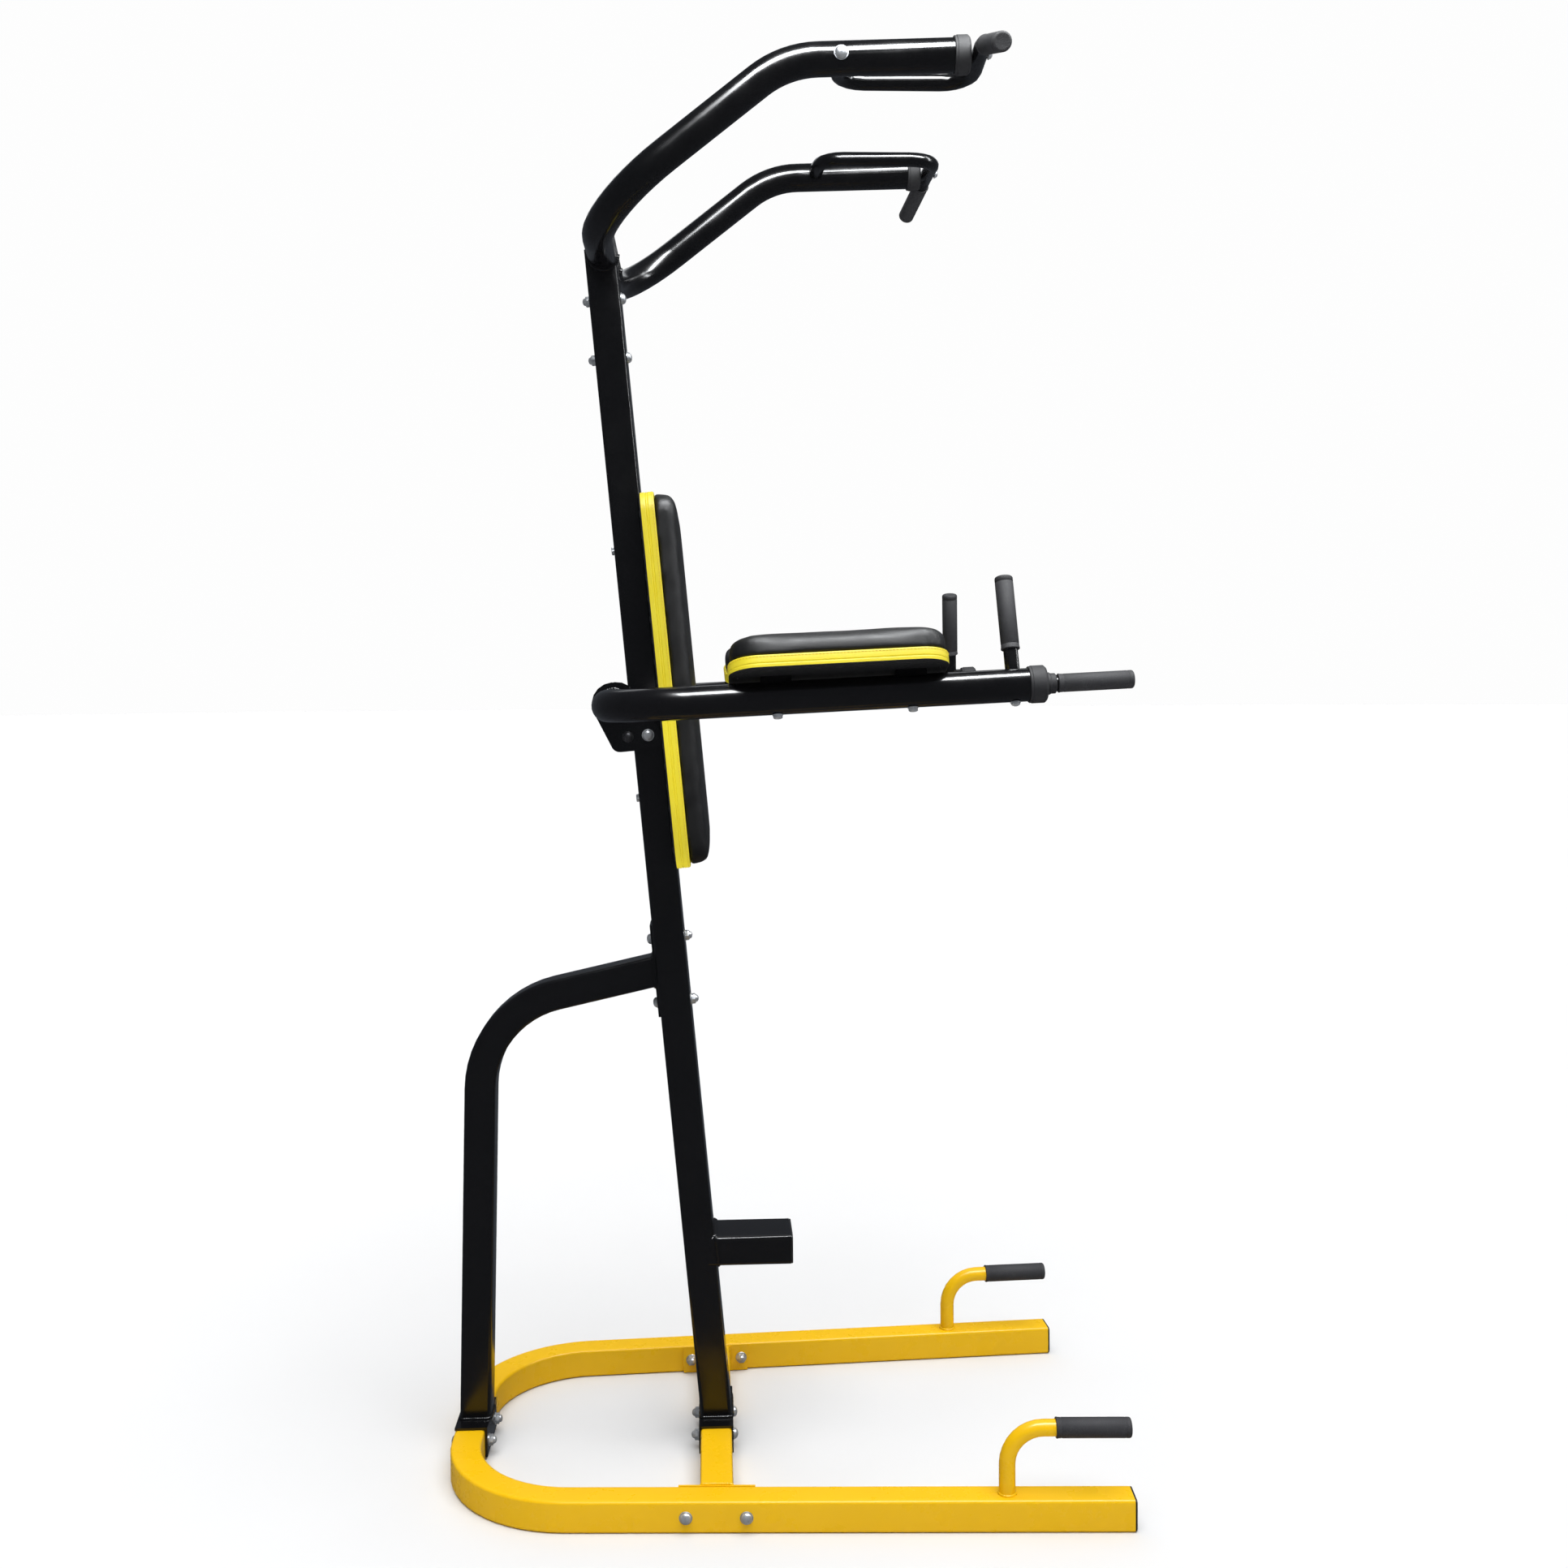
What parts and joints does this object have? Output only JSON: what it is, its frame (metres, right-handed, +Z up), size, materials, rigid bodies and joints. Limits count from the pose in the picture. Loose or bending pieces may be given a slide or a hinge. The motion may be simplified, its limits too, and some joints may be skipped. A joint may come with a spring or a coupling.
{
  "type": "power tower",
  "caption": "Leaning mast on a U floor frame with pull-up bar, curved side grips, padded arm rests, back pad, foot rest and push-up handles.",
  "frame": {"origin": "on the floor, at the middle of the machine's length and width", "axes": "+X towards the front of the machine, where its arms and handles point; +Y to its left; +Z up"},
  "size_m": [1.0867, 0.8932, 2.2683],
  "materials": {
    "yellow_paint": "gloss",
    "black_paint": "gloss",
    "zinc_bolt": "satin",
    "grip_rubber": "matte",
    "grey_cap": "matte",
    "black_plastic": "satin",
    "pad_board": "satin",
    "pad_cushion": "satin"
  },
  "bodies": {
    "root": {"arm_cap_left": "grey_cap", "arm_cap_right": "grey_cap", "arm_pad_board_left": "pad_board", "arm_pad_board_right": "pad_board", "arm_pad_bolt_left_1": "zinc_bolt", "arm_pad_bolt_left_2": "zinc_bolt", "arm_pad_bolt_right_1": "zinc_bolt", "arm_pad_bolt_right_2": "zinc_bolt", "arm_pad_cushion_left": "pad_cushion", "arm_pad_cushion_right": "pad_cushion", "arm_rest_frame": "black_paint", "back_pad_board": "pad_board", "back_pad_bolt_1": "zinc_bolt", "back_pad_bolt_2": "zinc_bolt", "back_pad_cushion": "pad_cushion", "base_frame": "yellow_paint", "bracket_bolt_back": "zinc_bolt", "bracket_bolt_mast": "zinc_bolt", "crossbar": "yellow_paint", "crossbar_bolt_left_front": "zinc_bolt", "crossbar_bolt_left_rear": "zinc_bolt", "crossbar_bolt_right_front": "zinc_bolt", "crossbar_bolt_right_rear": "zinc_bolt", "curved_bar_bolt_front_left": "zinc_bolt", "curved_bar_bolt_front_right": "zinc_bolt", "curved_grip_bar_left": "black_paint", "curved_grip_bar_right": "black_paint", "foot_bolt_left": "zinc_bolt", "foot_bolt_right": "zinc_bolt", "foot_rest_plug": "black_plastic", "forward_grip_left": "grip_rubber", "forward_grip_right": "grip_rubber", "forward_grip_tube_left": "black_paint", "forward_grip_tube_right": "black_paint", "lower_mast": "black_paint", "mast_bolt_high_1": "zinc_bolt", "mast_bolt_high_2": "zinc_bolt", "mast_bolt_low_1": "zinc_bolt", "mast_bolt_low_2": "zinc_bolt", "mast_sleeve_high": "black_paint", "mast_sleeve_low": "black_paint", "pullup_bar": "black_paint", "pullup_cap_left": "grey_cap", "pullup_cap_right": "grey_cap", "pullup_grip_left": "grip_rubber", "pullup_grip_right": "grip_rubber", "pushup_grip_left": "grip_rubber", "pushup_grip_right": "grip_rubber", "rail_plug_left": "black_plastic", "rail_plug_right": "black_plastic", "rear_bolt_left": "zinc_bolt", "rear_bolt_right": "zinc_bolt", "rear_post": "black_paint", "upper_mast": "black_paint", "upright_grip_bolt_left": "zinc_bolt", "upright_grip_bolt_right": "zinc_bolt", "upright_grip_left": "grip_rubber", "upright_grip_right": "grip_rubber", "upright_grip_tube_left": "black_paint", "upright_grip_tube_right": "black_paint"}
  },
  "joints": []
}
